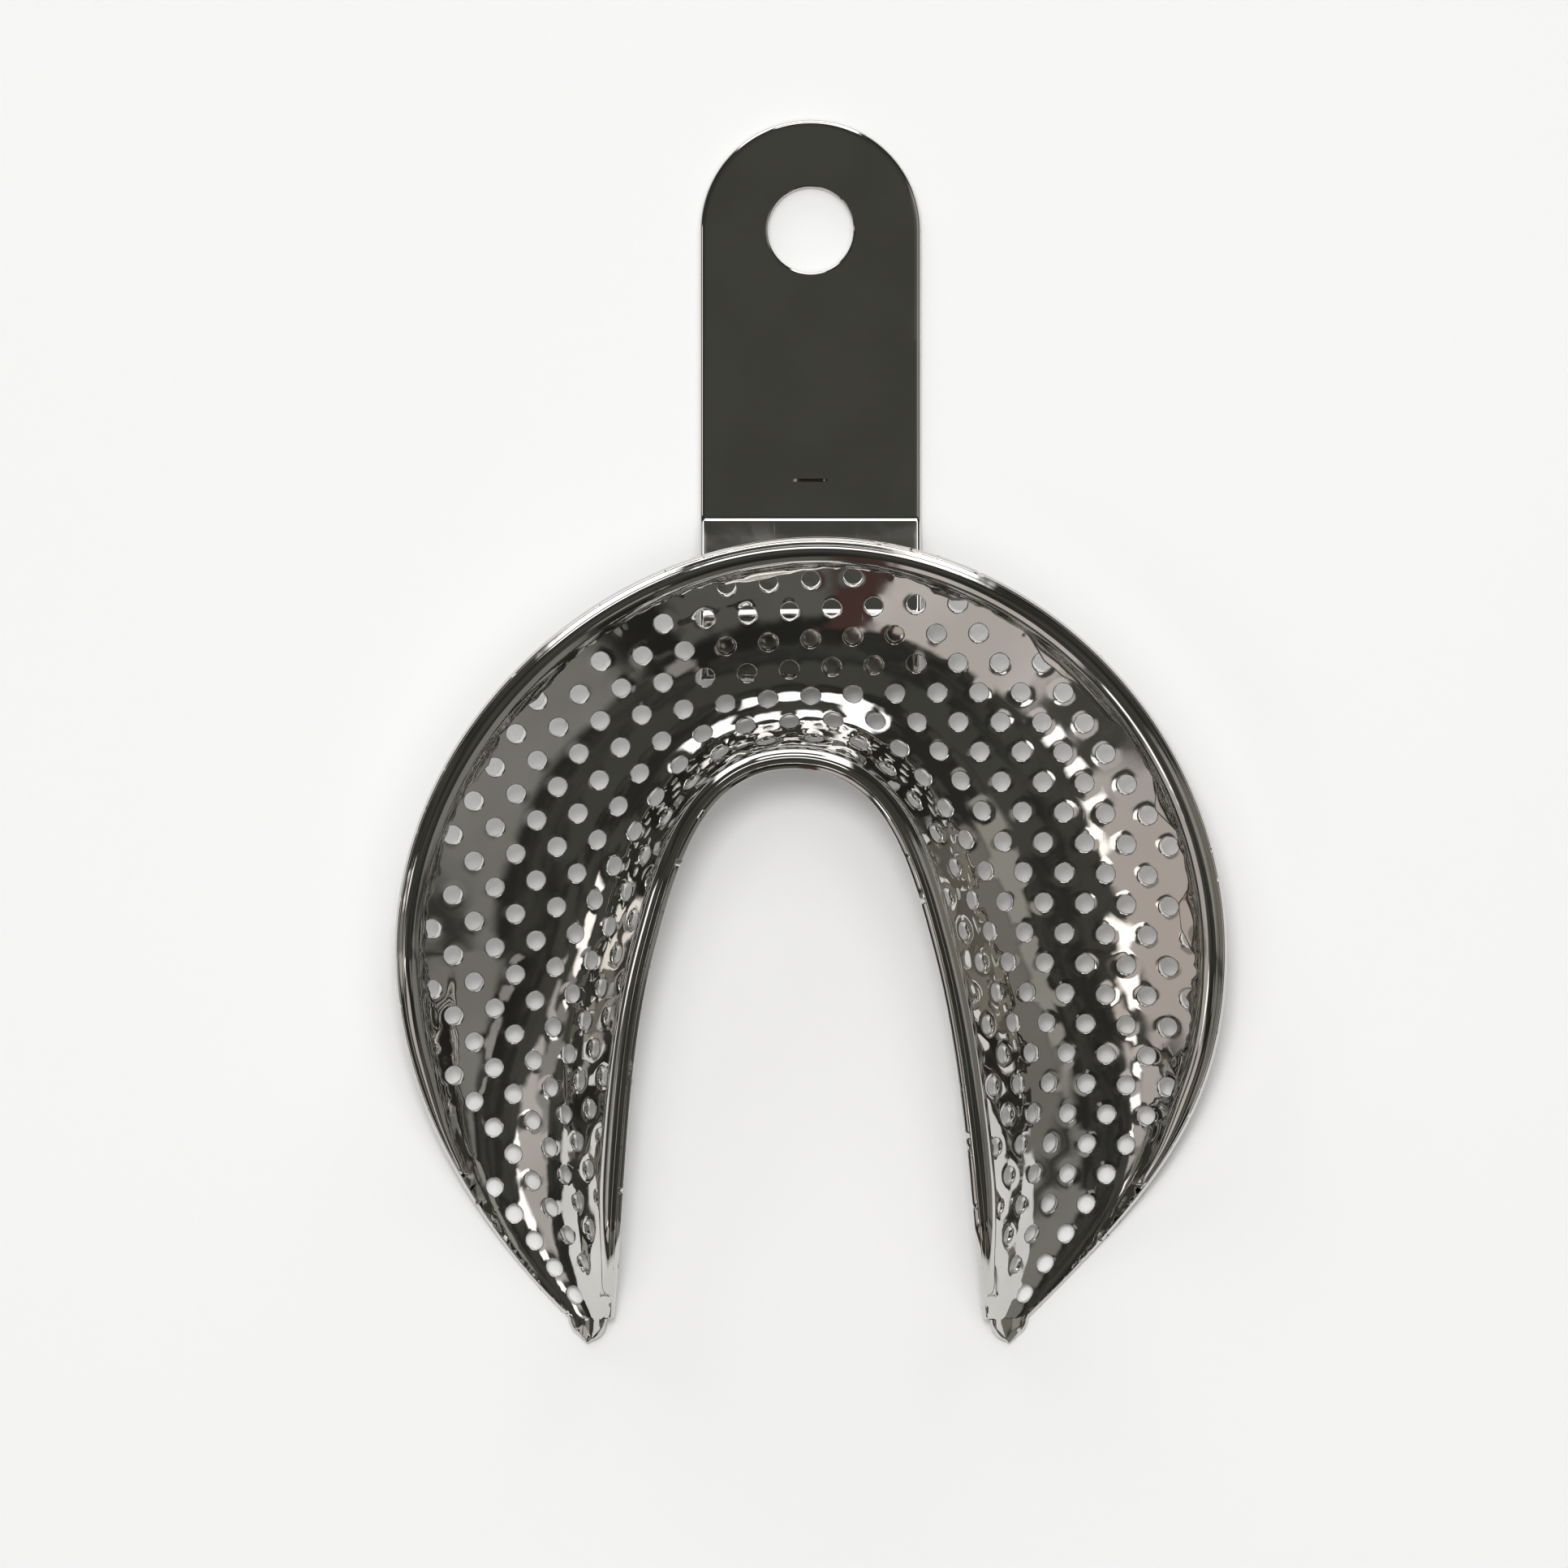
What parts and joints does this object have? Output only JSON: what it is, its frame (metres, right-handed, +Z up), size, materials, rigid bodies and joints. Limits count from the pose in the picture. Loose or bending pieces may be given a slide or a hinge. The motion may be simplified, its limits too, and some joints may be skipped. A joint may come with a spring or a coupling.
{
  "type": "dental impression tray",
  "caption": "Perforated horseshoe tray with a flared outer wall, a raised inner wall, wire rims and a flat handle with a hanging hole, for taking an impression of a lower jaw.",
  "frame": {"origin": "middle of the whole length and of the arch's width, on the surface that the handle and the two heels rest on", "axes": "+Y along the handle, away from the arch; +Z up, out of the channel's open side; +X to the right"},
  "size_m": [0.075, 0.1109, 0.0153],
  "materials": {
    "sheet_steel": "mirror-polished stainless steel sheet",
    "wire_steel": "mirror-polished stainless steel wire",
    "handle_steel": "mirror-polished stainless steel strip",
    "solder": "polished solder with soft, uneven edges",
    "braze": "smooth braze, slightly duller than the steel"
  },
  "bodies": {
    "root": {"tray_shell": "sheet_steel", "outer_rim_wire": "wire_steel", "outer_rim_solder": "solder", "inner_rim_wire": "wire_steel", "inner_rim_solder": "solder", "handle": "handle_steel", "handle_braze": "braze"}
  },
  "joints": []
}
